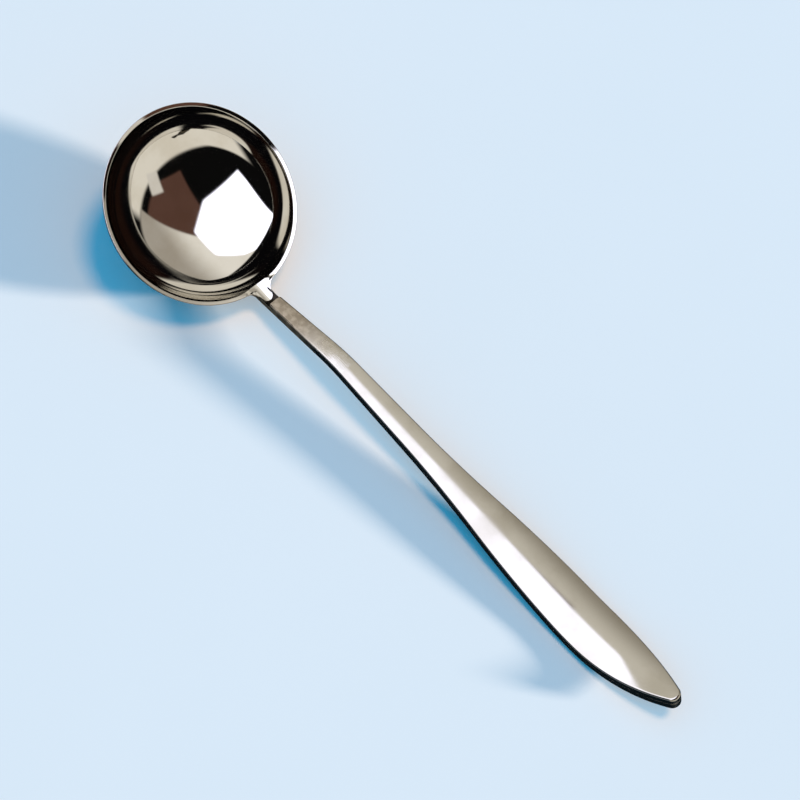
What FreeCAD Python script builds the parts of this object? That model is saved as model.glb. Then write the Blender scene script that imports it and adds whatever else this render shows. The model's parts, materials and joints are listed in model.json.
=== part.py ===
import FreeCAD, Part
import math
import os
import Sketcher

# A welded stainless steel soup ladle, lying as it does on a table.
# The table is z = 0. The ladle touches it with the bottom of its bowl and with the belly of its handle.
# x runs along the handle, from the bowl to the tip, y across it, and the origin is midway along the ladle.

Vector = FreeCAD.Vector

# Driving dimensions, in millimetres and degrees. A reach is measured from the bowl's lowest point.
SIZES = {
    "rim_radius": 40.0,
    "rim_round": 0.5,
    "bowl_depth": 26.0,
    "bottom_round": 50.0,
    "side_round": 27.4,
    "bowl_wall": 1.4,
    "bowl_tilt": 24.3,
    "beak_reach": 6.0,
    "beak_tip_round": 2.4,
    "beak_flare_round": 6.0,
    "beak_thickness": 1.4,
    "pocket_flare": 4.0,
    "pocket_slope": 40.0,
    "root_reach": 25.6,
    "root_height": 6.7,
    "root_arc": 40.0,
    "root_flare_round": 3.0,
    "neck_thickness": 4.6,
    "neck_half_width": 2.8,
    "shank_reach": 110.5,
    "shank_half_width": 5.2,
    "crest_reach": 70.7,
    "crest_height": 11.7,
    "crest_arc": 60.0,
    "top_crown": 45.0,
    "bottom_crown": 90.0,
    "belly_thickness": 6.3,
    "belly_half_width": 11.2,
    "belly_arc": 105.0,
    "tip_run": 45.8,
    "tip_reach": 252.6,
    "tip_round": 3.4,
    "mouth_reach": 75.6,
    "shell_wall": 1.0,
    "tang_length": 30.0,
    "tang_fit": 0.15,
    "weld_bead": 1.2,
    "weld_gap": 0.8,
    "crease_round": 0.7,
}

doc = FreeCAD.newDocument("SoupLadle")
sheet = doc.addObject("Spreadsheet::Sheet", "size")
for row, (name, number) in enumerate(SIZES.items(), 1):
    sheet.set(f"A{row}", name.replace("_", " "))
    sheet.set(f"B{row}", str(number))
    sheet.setAlias(f"B{row}", name)
doc.recompute()

# Expressions that follow from the driving dimensions.
# The bowl is turned from two arcs: one for its bottom, centred on its axis, and one for its side.
TILT = "(size.bowl_tilt * 1 deg)"
BOTTOM_Z = "(size.bottom_round - size.bowl_depth)"
ROUNDS_APART = "(size.bottom_round - size.side_round)"
RIM_SPAN = f"sqrt(size.rim_radius^2 + {BOTTOM_Z}^2)"
SPAN_PART = f"(({ROUNDS_APART}^2 + {RIM_SPAN}^2 - size.side_round^2) / (2 * {RIM_SPAN}))"
SPAN_OFF = f"sqrt({ROUNDS_APART}^2 - {SPAN_PART}^2)"
SIDE_X = f"(({SPAN_PART} * size.rim_radius - {SPAN_OFF} * {BOTTOM_Z}) / {RIM_SPAN})"
SIDE_Z = f"({BOTTOM_Z} - ({SPAN_PART} * {BOTTOM_Z} + {SPAN_OFF} * size.rim_radius) / {RIM_SPAN})"
FRONT = f"(size.side_round + {SIDE_X} * cos({TILT}) + ({BOTTOM_Z} - {SIDE_Z}) * sin({TILT}))"
BOWL_X = f"(({FRONT} - size.tip_reach) / 2)"
INNER_X = f"({BOWL_X} + size.root_reach / 2)"
ROOT_X = f"({BOWL_X} + size.root_reach)"
CREST_X = f"({BOWL_X} + size.crest_reach)"
SHANK_X = f"({BOWL_X} + size.shank_reach)"
TIP_X = f"({BOWL_X} + size.tip_reach)"
BELLY_X = f"({TIP_X} - size.tip_run)"
MOUTH_X = f"({BOWL_X} + size.mouth_reach)"
PATH_END_X = f"({TIP_X} + 2 * size.belly_thickness)"
TIP_SLOPE = "asin(size.tip_run / size.belly_arc)"
TIP_HEIGHT = f"(size.belly_arc * (1 - cos({TIP_SLOPE})))"
RIM_X = f"({BOWL_X} - {BOTTOM_Z} * sin({TILT}))"
RIM_Z = f"(size.bottom_round - {BOTTOM_Z} * cos({TILT}))"
BREADTH = "(1.5 * size.belly_half_width)"
BLOCK = "(3 * size.belly_thickness)"


def amount(text):
    """What an expression comes to now, as a plain number."""
    return float(sheet.evalExpression(str(text)))


def bind(item, **texts):
    for prop, text in texts.items():
        item.setExpression(prop.replace("__", "."), text)
    return item


def add(kind, label, **texts):
    item = doc.addObject(kind, label)
    item.Label = label
    return bind(item, **texts)


class Outline:
    """A sketch whose places and radii are bound to the sheet as they are drawn."""

    def __init__(self, sketch):
        self.sketch = sketch

    def limit(self, kind, *where):
        return self.sketch.addConstraint(Sketcher.Constraint(kind, *where))

    def measure(self, kind, *where, text):
        index = self.limit(kind, *where, amount(text))
        name = f"measure{index}"
        self.sketch.renameConstraint(index, name)
        self.sketch.setExpression(f"Constraints.{name}", text)

    def place(self, edge, point, x=None, y=None):
        """Fix a point's x or y, measured the way round in which it is positive."""
        for kind, text in (("DistanceX", x), ("DistanceY", y)):
            if text and amount(text) >= 0:
                self.measure(kind, -1, 1, edge, point, text=text)
            elif text:
                self.measure(kind, edge, point, -1, 1, text=f"-({text})")

    def line(self, start, end):
        ends = [Vector(amount(x), amount(y), 0) for x, y in (start, end)]
        return self.sketch.addGeometry(Part.LineSegment(*ends), False)

    def arc(self, x, y, radius, first, last, side=1):
        """An arc from one angle to the next, in degrees, or its mirror image in the x axis."""
        first, last = (first, last) if side > 0 else (-last, -first)
        centre = Vector(amount(x), side * amount(y), 0)
        circle = Part.Circle(centre, Vector(0, 0, 1), amount(radius))
        arc = Part.ArcOfCircle(circle, math.radians(first), math.radians(last))
        return self.sketch.addGeometry(arc, False)


def sketch_on(label, turn):
    sketch = add("Sketcher::SketchObject", label)
    sketch.Placement = FreeCAD.Placement(Vector(0, 0, 0), turn)
    return sketch


SIDE_VIEW = FreeCAD.Rotation(Vector(1, 0, 0), 90)
PLAN_VIEW = FreeCAD.Rotation()
SECTION_VIEW = FreeCAD.Rotation(Vector(1, 1, 1), 120)


def slope(low_x, low_z, low_arc, high_x, high_z, high_arc):
    """The slope, in degrees, of the line between an arc at a low point and an arc at a high one."""
    run = abs(amount(high_x) - amount(low_x))
    rise = amount(high_z) - amount(low_z)
    arcs = amount(low_arc) + amount(high_arc)
    return math.degrees(math.asin(arcs / math.hypot(run, arcs - rise)) - math.atan2(arcs - rise, run))


def side_path(label, root_z, crest_z, belly_z):
    """The handle's side view at one height: level at the root, up over the crest, down to the belly."""
    path = Outline(sketch_on(label, SIDE_VIEW))
    arcs = {
        "root": (ROOT_X, f"({root_z} + size.root_arc)", "size.root_arc"),
        "crest": (CREST_X, f"({crest_z} - size.crest_arc)", "size.crest_arc"),
        "belly": (BELLY_X, f"({belly_z} + size.belly_arc)", "size.belly_arc"),
    }
    climb = slope(ROOT_X, root_z, "size.root_arc", CREST_X, crest_z, "size.crest_arc")
    fall = slope(BELLY_X, belly_z, "size.belly_arc", CREST_X, crest_z, "size.crest_arc")
    end = math.degrees(math.asin((amount(PATH_END_X) - amount(BELLY_X)) / amount("size.belly_arc")))
    level = path.line((INNER_X, root_z), (ROOT_X, root_z))
    root = path.arc(*arcs["root"], 270, 270 + climb)
    crest = path.arc(*arcs["crest"], 90 - fall, 90 + climb)
    belly = path.arc(*arcs["belly"], 270 - fall, 270 + end)
    corner = path.sketch.getPoint
    rising = path.sketch.addGeometry(Part.LineSegment(corner(root, 2), corner(crest, 2)), False)
    falling = path.sketch.addGeometry(Part.LineSegment(corner(crest, 1), corner(belly, 1)), False)
    for edge, (x, z, radius) in zip((root, crest, belly), arcs.values()):
        path.measure("Radius", edge, text=radius)
        path.place(edge, 3, x, z)
    path.limit("Horizontal", level)
    path.place(level, 1, x=INNER_X)
    path.place(belly, 2, x=PATH_END_X)
    path.limit("Tangent", level, 2, root, 1)
    path.limit("Tangent", root, 2, rising, 1)
    path.limit("Tangent", rising, 2, crest, 2)
    path.limit("Tangent", crest, 1, falling, 1)
    path.limit("Tangent", falling, 2, belly, 1)
    return path.sketch


def section_sketch(label, root_z):
    sketch = sketch_on(label, SECTION_VIEW)
    return Outline(bind(sketch, Placement__Base__x=INNER_X, Placement__Base__z=root_z))


def crowned_section(label, root_z, crown, side):
    """A block's cross section at the root, crowned above (side 1) or below (side -1)."""
    outline = section_sketch(label, root_z)
    half = math.degrees(math.asin(amount(BREADTH) / amount(crown)))
    left, right, foot = f"({-side} * {BREADTH})", f"({side} * {BREADTH})", f"({-side} * {BLOCK})"
    centre = f"({-side} * {crown})"
    edge = f"({centre} + {side} * sqrt({crown}^2 - {BREADTH}^2))"
    middle = side * 90
    arc = outline.arc("0", centre, crown, middle - half, middle + half)
    lines = [
        outline.line((left, edge), (left, foot)),
        outline.line((left, foot), (right, foot)),
        outline.line((right, foot), (right, edge)),
    ]
    outline.measure("Radius", arc, text=crown)
    outline.limit("PointOnObject", arc, 3, -2)
    outline.place(arc, 3, y=centre)
    for before, after in zip([arc] + lines, lines + [arc]):
        outline.limit("Coincident", before, 2, after, 1)
    for line, x in ((lines[0], left), (lines[2], right)):
        outline.limit("Vertical", line)
        outline.place(line, 1, x=x)
    outline.limit("Horizontal", lines[1])
    outline.place(lines[1], 1, y=foot)
    return outline.sketch


def plain_section(label, root_z, low, high):
    """A rectangle across the handle, between two heights over the path."""
    outline = section_sketch(label, root_z)
    left, right = f"(-{BREADTH})", BREADTH
    corners = [(left, low), (right, low), (right, high), (left, high)]
    lines = [outline.line(*ends) for ends in zip(corners, corners[1:] + corners[:1])]
    for before, after in zip(lines, lines[1:] + lines[:1]):
        outline.limit("Coincident", before, 2, after, 1)
    for line, kind in zip(lines, ("Horizontal", "Vertical", "Horizontal", "Vertical")):
        outline.limit(kind, line)
    outline.place(lines[0], 1, left, low)
    outline.place(lines[2], 1, right, high)
    return outline.sketch


def sweep(label, profile, path):
    solid = add("Part::Sweep", label)
    solid.Sections = [profile]
    solid.Spine = (path, [f"Edge{number}" for number in range(1, 7)])
    solid.Solid = True
    return solid


def flank_lean(run, drop, flare):
    """How far, in radians, the neck's flank leans out from the flare at its root to the shank."""
    return math.asin(flare / math.hypot(run, drop)) - math.atan2(drop, run)


def swell_radius(run, rise, lean):
    """The radius of two equal arcs that carry a leaning flank over into one that runs level."""
    bend = run * math.sin(lean) - rise * (1 + math.cos(lean))
    square = run**2 + rise**2
    return square / (math.sqrt(bend**2 + 2 * (1 - math.cos(lean)) * square) - bend)


def plan_outline(label, grow):
    """The handle seen from above: a flared root, a slim neck, a swelling to the belly and a round tip."""
    neck = f"(size.neck_half_width + {grow})"
    shank = f"(size.shank_half_width + {grow})"
    wide = f"(size.belly_half_width + {grow})"
    tip = f"(size.tip_round + {grow})"
    flare = "size.root_flare_round"
    root = f"({neck} + {flare})"
    tip_x = f"({TIP_X} - size.tip_round)"
    taper = f"((({tip_x} - {BELLY_X})^2 + {wide}^2 - {tip}^2) / (2 * ({wide} - {tip})))"
    lean = flank_lean(*(amount(text) for text in (f"{SHANK_X} - {ROOT_X}", f"{root} - {shank}", flare)))
    swell = swell_radius(*(amount(text) for text in (f"{BELLY_X} - {SHANK_X}", f"{wide} - {shank}")), lean)
    hollow_x = amount(SHANK_X) - swell * math.sin(lean)
    hollow_y = amount(shank) + swell * math.cos(lean)
    turn = math.degrees(math.atan2(amount(wide) - swell - hollow_y, amount(BELLY_X) - hollow_x))
    shoulder = math.degrees(math.atan2(amount(f"{taper} - {wide}"), amount(f"{tip_x} - {BELLY_X}")))
    plan = Outline(bind(sketch_on(label, PLAN_VIEW), Placement__Base__z=TIP_HEIGHT))
    end = plan.arc(tip_x, "0", tip, -shoulder, shoulder)
    plan.measure("Radius", end, text=tip)
    plan.limit("PointOnObject", end, 3, -1)
    plan.place(end, 3, x=tip_x)
    corners = []
    for side, start, stop in ((1, 1, 2), (-1, 2, 1)):
        mirrored = "" if side > 0 else "-"
        edge = plan.line((INNER_X, mirrored + root), (f"({ROOT_X} - {flare})", mirrored + root))
        bend = plan.arc(ROOT_X, root, flare, 180, 270, side)
        straight = plan.line((ROOT_X, mirrored + neck), (SHANK_X, mirrored + shank))
        hollow = plan.arc(hollow_x, hollow_y, swell, 270 + math.degrees(lean), 360 + turn, side)
        full = plan.arc(BELLY_X, f"({wide} - {swell})", swell, 90, 180 + turn, side)
        close = plan.arc(BELLY_X, f"({wide} - {taper})", taper, shoulder, 90, side)
        plan.limit("Horizontal", edge)
        plan.place(edge, 1, x=INNER_X)
        plan.place(bend, 3, ROOT_X, mirrored + root)
        plan.measure("Radius", bend, text=flare)
        plan.place(straight, 2, SHANK_X, mirrored + shank)
        plan.place(full, 3, x=BELLY_X)
        plan.place(full, start, y=mirrored + wide)
        plan.limit("Equal", hollow, full)
        plan.place(close, 3, x=BELLY_X)
        plan.limit("Coincident", edge, 2, bend, start)
        plan.place(bend, start, y=mirrored + root)
        plan.limit("Tangent", bend, stop, straight, 1)
        plan.limit("Tangent", straight, 2, hollow, start)
        plan.limit("Tangent", hollow, stop, full, stop)
        plan.limit("Tangent", full, start, close, stop)
        plan.limit("Tangent", close, start, end, stop)
        corners.append(edge)
    front = plan.line((INNER_X, "-" + root), (INNER_X, root))
    plan.limit("Coincident", front, 1, corners[1], 1)
    plan.limit("Coincident", front, 2, corners[0], 1)
    return plan.sketch


def upright(label, outline):
    """A plan outline made solid, leaning back so that the end wall is square to the upturned tip."""
    solid = add("Part::Extrusion", label)
    solid.Base = outline
    solid.DirMode = "Custom"
    solid.Solid = True
    solid.Symmetric = True
    bind(solid, Dir__x=f"-sin({TIP_SLOPE})", Dir__z=f"cos({TIP_SLOPE})", LengthFwd=f"4 * {BLOCK}")
    return solid


def common(label, *shapes):
    solid = add("Part::MultiCommon", label)
    solid.Shapes = list(shapes)
    return solid


def cut(label, base, tool):
    solid = add("Part::Cut", label)
    solid.Base = base
    solid.Tool = tool
    return solid


def fuse(label, *shapes):
    solid = add("Part::MultiFuse", label)
    solid.Shapes = list(shapes)
    return solid


def handle_form(label, grow):
    """The whole handle, grown outwards by some amount, or shrunk."""
    heights = (
        ("size.root_height", "size.neck_thickness"),
        ("size.crest_height", "size.neck_thickness"),
        ("0", "size.belly_thickness"),
    )
    top = [f"({height} + {thickness} + {grow})" for height, thickness in heights]
    bottom = [f"({height} - ({grow}))" for height, _ in heights]
    over = sweep(
        label + "_over",
        crowned_section(label + "_over_section", top[0], "size.top_crown", 1),
        side_path(label + "_over_path", *top),
    )
    under = sweep(
        label + "_under",
        crowned_section(label + "_under_section", bottom[0], "size.bottom_crown", -1),
        side_path(label + "_under_path", *bottom),
    )
    plan = upright(label + "_plan", plan_outline(label + "_outline", grow))
    return common(label, over, under, plan)


def is_wall(face):
    """Whether a face of the handle belongs to its leaning wall."""
    u_low, u_high, v_low, v_high = face.ParameterRange
    normal = face.normalAt((u_low + u_high) / 2, (v_low + v_high) / 2)
    lean = math.radians(amount(TIP_SLOPE))
    return abs(normal.dot(Vector(-math.sin(lean), 0, math.cos(lean)))) < Part.Precision.confusion()


def crease_edges(shape):
    """The numbers of the edges between the handle's crowned faces and its wall, root to tip."""
    numbers = []
    for number, edge in enumerate(shape.Edges, 1):
        faces = shape.ancestorsOfType(edge, Part.Face)
        on_wall = sum(is_wall(face) for face in faces) == 1
        if on_wall and edge.BoundBox.XMax > amount(f"({INNER_X} + {ROOT_X}) / 2"):
            numbers.append(number)
    return numbers


def round_creases(label, form):
    doc.recompute()
    radius = amount("size.crease_round")
    rounded = add("Part::Fillet", label)
    rounded.Base = form
    rounded.Edges = [(number, radius, radius) for number in crease_edges(form.Shape)]
    return rounded


def slab(label, start, end):
    """Everything between two places along the handle."""
    box = add("Part::Box", label, Length=f"{end} - {start}", Width=f"2 * {BREADTH}", Height=f"4 * {BLOCK}")
    low_y, low_z = f"-{BREADTH}", f"-2 * {BLOCK}"
    return bind(box, Placement__Base__x=start, Placement__Base__y=low_y, Placement__Base__z=low_z)


def set_at_rim(item, rise="0"):
    """Put something in the bowl's own frame, z along the bowl's axis, in the plane of the rim or over it."""
    turn = FreeCAD.Rotation(Vector(0, 1, 0), amount("size.bowl_tilt"))
    item.Placement = FreeCAD.Placement(Vector(0, 0, 0), turn)
    base_x, base_z = f"{RIM_X} + {rise} * sin({TILT})", f"{RIM_Z} + {rise} * cos({TILT})"
    return bind(item, Placement__Base__x=base_x, Placement__Base__z=base_z, Placement__Rotation__Angle=TILT)


def draw_beak(outline, grow="0"):
    """The beak in the plane of the rim, or grown: a round tip whose flanks run hollow into the rim."""
    tip_round = f"(size.beak_tip_round + {grow})"
    flare_round = f"(size.beak_flare_round - {grow})"
    tip_x = "(size.rim_radius + size.beak_reach - size.beak_tip_round)"
    flare_far = "(size.rim_radius + size.beak_flare_round)"
    flare_near = "(size.beak_tip_round + size.beak_flare_round)"
    inside = "(size.rim_radius - size.bowl_wall / 2)"
    flare_x = f"(({flare_far}^2 + {tip_x}^2 - {flare_near}^2) / (2 * {tip_x}))"
    flare_y = f"sqrt({flare_far}^2 - {flare_x}^2)"
    spread = math.degrees(math.atan2(amount(flare_y), amount(flare_x)))
    facing = math.degrees(math.atan2(amount(flare_y), amount(flare_x) - amount(tip_x)))
    tip = outline.arc(tip_x, "0", tip_round, -facing, facing)
    back = outline.arc("0", "0", inside, -spread, spread)
    outline.measure("Radius", tip, text=tip_round)
    outline.limit("PointOnObject", tip, 3, -1)
    outline.place(tip, 3, x=tip_x)
    outline.measure("Radius", back, text=inside)
    outline.limit("Coincident", back, 3, -1, 1)
    for side, start, stop in ((1, 1, 2), (-1, 2, 1)):
        flare = outline.arc(flare_x, flare_y, flare_round, 180 + spread, 180 + facing, side)
        ends = outline.sketch.getPoint(flare, start), outline.sketch.getPoint(back, stop)
        flank = outline.sketch.addGeometry(Part.LineSegment(*ends), False)
        outline.measure("Radius", flare, text=flare_round)
        outline.measure("Distance", -1, 1, flare, 3, text=flare_far)
        outline.limit("Tangent", flare, stop, tip, stop)
        outline.limit("Coincident", flare, start, flank, 1)
        outline.limit("Coincident", flank, 2, back, stop)
        outline.limit("PointOnObject", -1, 1, flank)
        outline.limit("PointOnObject", flare, 3, flank)


def body_sketch(body, label, role):
    sketch = body.newObject("Sketcher::SketchObject", label)
    plane = next(item for item in body.Origin.OriginFeatures if item.Role == role)
    sketch.AttachmentSupport = [(plane, "")]
    sketch.MapMode = "FlatFace"
    return sketch


def draw_bowl(outline, grow="0"):
    """Half of the bowl, filled to the rim and perhaps grown, to be turned about its axis."""
    bottom_round = f"(size.bottom_round + {grow})"
    side_round = f"(size.side_round + {grow})"
    side_x, side_z = amount(SIDE_X), amount(SIDE_Z)
    joint = math.degrees(math.atan2(side_x, amount(BOTTOM_Z) - side_z))
    dip = math.degrees(math.asin(side_z / amount(side_round)))
    bottom = outline.arc("0", BOTTOM_Z, bottom_round, 270, 270 + joint)
    side = outline.arc(side_x, side_z, side_round, 270 + joint, 360 - dip)
    corner = outline.sketch.getPoint
    top = outline.sketch.addGeometry(Part.LineSegment(corner(side, 2), Vector(0, 0, 0)), False)
    axis = outline.sketch.addGeometry(Part.LineSegment(Vector(0, 0, 0), corner(bottom, 1)), False)
    outline.measure("Radius", bottom, text=bottom_round)
    outline.limit("PointOnObject", bottom, 3, -2)
    outline.place(bottom, 3, y=BOTTOM_Z)
    outline.measure("Radius", side, text=side_round)
    outline.place(side, 3, x=SIDE_X)
    outline.limit("Tangent", bottom, 2, side, 1)
    outline.limit("PointOnObject", side, 2, -1)
    outline.limit("Coincident", side, 2, top, 1)
    outline.limit("Coincident", top, 2, -1, 1)
    outline.limit("Coincident", axis, 1, -1, 1)
    outline.limit("Coincident", axis, 2, bottom, 1)
    outline.limit("PointOnObject", bottom, 1, -2)


def turn_bowl(body, kind, label, grow):
    """Turn the bowl's outline about its axis, as a blank or as a hollow."""
    outline = body_sketch(body, label + "_outline", "XZ_Plane")
    draw_bowl(Outline(outline), grow)
    turned = body.newObject(kind, label)
    turned.Profile = outline
    turned.ReferenceAxis = (outline, ["V_Axis"])
    turned.Angle = 360
    return turned


def filled_bowl(label, grow):
    """The bowl as one lump, grown by some amount."""
    body = set_at_rim(add("PartDesign::Body", label))
    turn_bowl(body, "PartDesign::Revolution", label + "_turned", grow)
    return body


def inner_rim_edges(shape):
    """The numbers of the edges in the plane of the rim that lie inside the middle of the wall."""
    numbers = []
    for number, edge in enumerate(shape.Edges, 1):
        level = max(abs(edge.BoundBox.ZMin), abs(edge.BoundBox.ZMax)) < Part.Precision.confusion()
        if level and edge.BoundBox.XMax < amount("size.rim_radius - size.bowl_wall / 2"):
            numbers.append(number)
    return numbers


def make_bowl():
    body = set_at_rim(add("PartDesign::Body", "bowl"))
    turn_bowl(body, "PartDesign::Revolution", "bowl_blank", "0")
    beak = body_sketch(body, "bowl_beak", "XY_Plane")
    draw_beak(Outline(beak))
    tongue = body.newObject("PartDesign::Pad", "bowl_tongue")
    tongue.Profile = beak
    tongue.Reversed = True
    bind(tongue, Length="size.beak_thickness")
    hollow = turn_bowl(body, "PartDesign::Groove", "bowl_hollow", "-size.bowl_wall")
    doc.recompute()
    rounding = body.newObject("PartDesign::Fillet", "bowl_rim_rounding")
    rounding.Base = (hollow, [f"Edge{number}" for number in inner_rim_edges(hollow.Shape)])
    bind(rounding, Radius="size.rim_round")
    return body


def make_pocket():
    """The beak's pocket in the neck: its sloping wall stands on the beak's outline."""
    floor = set_at_rim(sketch_on("pocket_floor", PLAN_VIEW))
    draw_beak(Outline(floor))
    rise = "size.pocket_flare * tan(size.pocket_slope * 1 deg)"
    mouth = set_at_rim(sketch_on("pocket_mouth", PLAN_VIEW), rise)
    draw_beak(Outline(mouth), "size.pocket_flare")
    pocket = add("Part::Loft", "pocket")
    pocket.Sections = [floor, mouth]
    pocket.Ruled = True
    pocket.Solid = True
    return pocket


def seam_band(label, low, high):
    """What lies between two heights over the line where the handle's halves meet."""
    heights = (
        "(size.root_height + size.neck_thickness / 2)",
        "(size.crest_height + size.neck_thickness / 2)",
        "(size.belly_thickness / 2)",
    )
    profile = plain_section(label + "_section", heights[0], low, high)
    return sweep(label, profile, side_path(label + "_path", *heights))


bowl = make_bowl()
bowl_fill = filled_bowl("bowl_fill", "0")
weld_fill = filled_bowl("weld_fill", "size.weld_bead")
sharp = handle_form("sharp", "0")
outer = round_creases("outer", sharp)
cavity = handle_form("cavity", "-size.shell_wall")
slot = handle_form("slot", "-(size.shell_wall + size.tang_fit)")
bead = handle_form("bead", "size.weld_bead")
pocket = make_pocket()

SHOULDER_X = f"({MOUTH_X} - size.weld_gap)"
TANG_END_X = f"({MOUTH_X} + size.tang_length)"
neck = common("neck", outer, slab("neck_slab", f"({INNER_X} - {BLOCK})", SHOULDER_X))
tang = common("tang", slot, slab("tang_slab", SHOULDER_X, TANG_END_X))
root = fuse("root", bowl_fill, bowl, pocket)
neck_shank = cut("neck_shank", fuse("shank_blank", neck, tang), root)

wall = cut("wall", outer, cavity)
mouth_weld = common("mouth_weld", wall, slab("mouth_slab", SHOULDER_X, MOUTH_X))
hollow = common("hollow", wall, slab("hollow_slab", MOUTH_X, PATH_END_X))
half_gap = "(size.weld_gap / 2)"
upper = seam_band("upper", half_gap, BLOCK)
seam = seam_band("seam", f"(-{half_gap})", half_gap)
lower = seam_band("lower", f"(-{BLOCK})", f"(-{half_gap})")
handle_upper_shell = common("handle_upper_shell", hollow, upper)
seam_weld = common("seam_weld", hollow, seam)
handle_lower_shell = common("handle_lower_shell", hollow, lower)

collar = common("collar", bead, weld_fill, doc.getObject("cavity_over"))
bowl_weld = cut("bowl_weld", collar, fuse("weld_seat", root, neck))
doc.recompute()

PIECES = (bowl, neck_shank, bowl_weld, mouth_weld, handle_upper_shell, handle_lower_shell, seam_weld)
faults = [item.Label for item in doc.Objects if {"Invalid", "Error"} & set(item.State)]
for piece in PIECES:
    if piece.Shape.isNull() or not piece.Shape.isValid() or len(piece.Shape.Solids) != 1:
        faults.append(piece.Label)
if faults:
    raise RuntimeError(f"not made whole: {faults}")

os.makedirs("parts", exist_ok=True)
for piece in PIECES:
    piece.Shape.exportStep(f"parts/{piece.Label}.step")
    print(piece.Label, round(piece.Shape.Volume, 1), "cubic millimetres")
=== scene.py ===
import json
import math
from collections import namedtuple

import bmesh
import bpy
import numpy as np
from mathutils import Matrix, Vector


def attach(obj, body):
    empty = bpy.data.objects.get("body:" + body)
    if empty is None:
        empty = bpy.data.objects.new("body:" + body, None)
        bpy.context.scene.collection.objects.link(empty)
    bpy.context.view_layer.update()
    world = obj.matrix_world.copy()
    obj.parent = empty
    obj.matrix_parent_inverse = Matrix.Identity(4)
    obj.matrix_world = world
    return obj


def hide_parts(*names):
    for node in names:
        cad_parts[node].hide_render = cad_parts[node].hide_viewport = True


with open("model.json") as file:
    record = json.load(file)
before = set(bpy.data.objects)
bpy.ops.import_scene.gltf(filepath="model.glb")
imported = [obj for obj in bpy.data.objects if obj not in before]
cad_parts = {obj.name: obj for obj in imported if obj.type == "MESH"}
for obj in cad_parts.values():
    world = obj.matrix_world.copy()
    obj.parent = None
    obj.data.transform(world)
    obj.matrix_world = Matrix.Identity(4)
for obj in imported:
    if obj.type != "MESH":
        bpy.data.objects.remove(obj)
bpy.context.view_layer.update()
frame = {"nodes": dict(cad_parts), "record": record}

# A polished steel soup ladle on a pale table, lit as in a small studio.
# Shapes are worked out in millimetres, in the part's frame, and meshes are written in metres.
MM = 0.001
TINY = 1e-6
QUARTER_TURN = math.pi / 2
FULL_TURN = 2 * math.pi

# The bowl: its bottom and side arcs, its wall and its beak.
RIM_RADIUS = 40.0
RIM_ROUND = 0.5
BOWL_DEPTH = 26.0
BOTTOM_ROUND = 50.0
SIDE_ROUND = 27.4
BOWL_WALL = 1.4
BEAK_REACH = 6.0
BEAK_TIP_ROUND = 2.4
BEAK_FLARE_ROUND = 6.0
BEAK_THICKNESS = 1.4
EDGE_ROUND = 0.2
FOOT_INSET = EDGE_ROUND / 3

# The lip: how far it dips all round, how much further at the beak, over what angle,
# and how far the neck's seat goes down with it.
LIP_DIP = 0.4
BEAK_DIP = 2.0
BEAK_SWING = math.radians(9)
SEAT_DIP = 1.3

# The rim's rows reach from this slope of the inner skin to this depth on the outer one.
TURNED_SLOPE = math.radians(62)
SKIRT_DEPTH = 4.0

# Where the bowl is, from the mount on its rim.
MOUNTS = {mount["name"]: mount for mount in frame["record"]["mounts"]}
RIM_SPOT = MOUNTS["bowl_rim"]["pos_m"]
RIM_CENTRE = Vector((RIM_SPOT[0], 0.0, RIM_SPOT[2]))
BOWL_AXIS = Vector(MOUNTS["bowl_rim"]["axis"])
BOWL_TILT = math.atan2(BOWL_AXIS.x, BOWL_AXIS.z)
BOWL_PLACE = Matrix.Translation(RIM_CENTRE) @ Matrix.Rotation(BOWL_TILT, 4, "Y")

# The bowl's outline: where the bottom arc hands over to the side arc.
BOTTOM_UP = BOTTOM_ROUND - BOWL_DEPTH
RIM_SPAN = math.hypot(RIM_RADIUS, BOTTOM_UP)
SPAN_PART = ((BOTTOM_ROUND - SIDE_ROUND)**2 + RIM_SPAN**2 - SIDE_ROUND**2) / (2 * RIM_SPAN)
SPAN_OFF = math.sqrt((BOTTOM_ROUND - SIDE_ROUND)**2 - SPAN_PART**2)
SIDE_OUT = (SPAN_PART * RIM_RADIUS - SPAN_OFF * BOTTOM_UP) / RIM_SPAN
SIDE_UP = BOTTOM_UP - (SPAN_PART * BOTTOM_UP + SPAN_OFF * RIM_RADIUS) / RIM_SPAN
JOINT_ANGLE = math.atan2(SIDE_OUT, BOTTOM_UP - SIDE_UP)

# The handle along x: its places measured from the bowl's lowest point, and the belly back from the tip.
# The tip is 0.1 mm short of the solid's, so that it stays inside the solid's box.
ROOT_REACH = 25.6
CREST_REACH = 70.7
MOUTH_REACH = 75.6
SHANK_REACH = 110.5
TIP_REACH = 252.5
TIP_RUN = 45.8
BOWL_X = RIM_CENTRE.x / MM + BOTTOM_UP * math.sin(BOWL_TILT)
ROOT_X = BOWL_X + ROOT_REACH
CREST_X = BOWL_X + CREST_REACH
MOUTH_X = BOWL_X + MOUTH_REACH
SHANK_X = BOWL_X + SHANK_REACH
TIP_X = BOWL_X + TIP_REACH
BELLY_X = TIP_X - TIP_RUN

# The handle from the side: heights at the root, the crest and the belly, and the arcs between them.
NECK_THICKNESS = 4.6
BELLY_THICKNESS = 6.3
BOTTOM_LINE = (6.7, 11.7, 0.0)
TOP_LINE = (BOTTOM_LINE[0] + NECK_THICKNESS, BOTTOM_LINE[1] + NECK_THICKNESS, BELLY_THICKNESS)
SEAM_LINE = tuple((low + high) / 2 for low, high in zip(BOTTOM_LINE, TOP_LINE))
ROOT_ARC = 40.0
CREST_ARC = 60.0
BELLY_ARC = 105.0
TOP_CROWN = 45.0
BOTTOM_CROWN = 90.0
CREASE_ROUND = 0.7
SHELL_WALL = 1.0
WELD_GAP = 0.8

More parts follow.
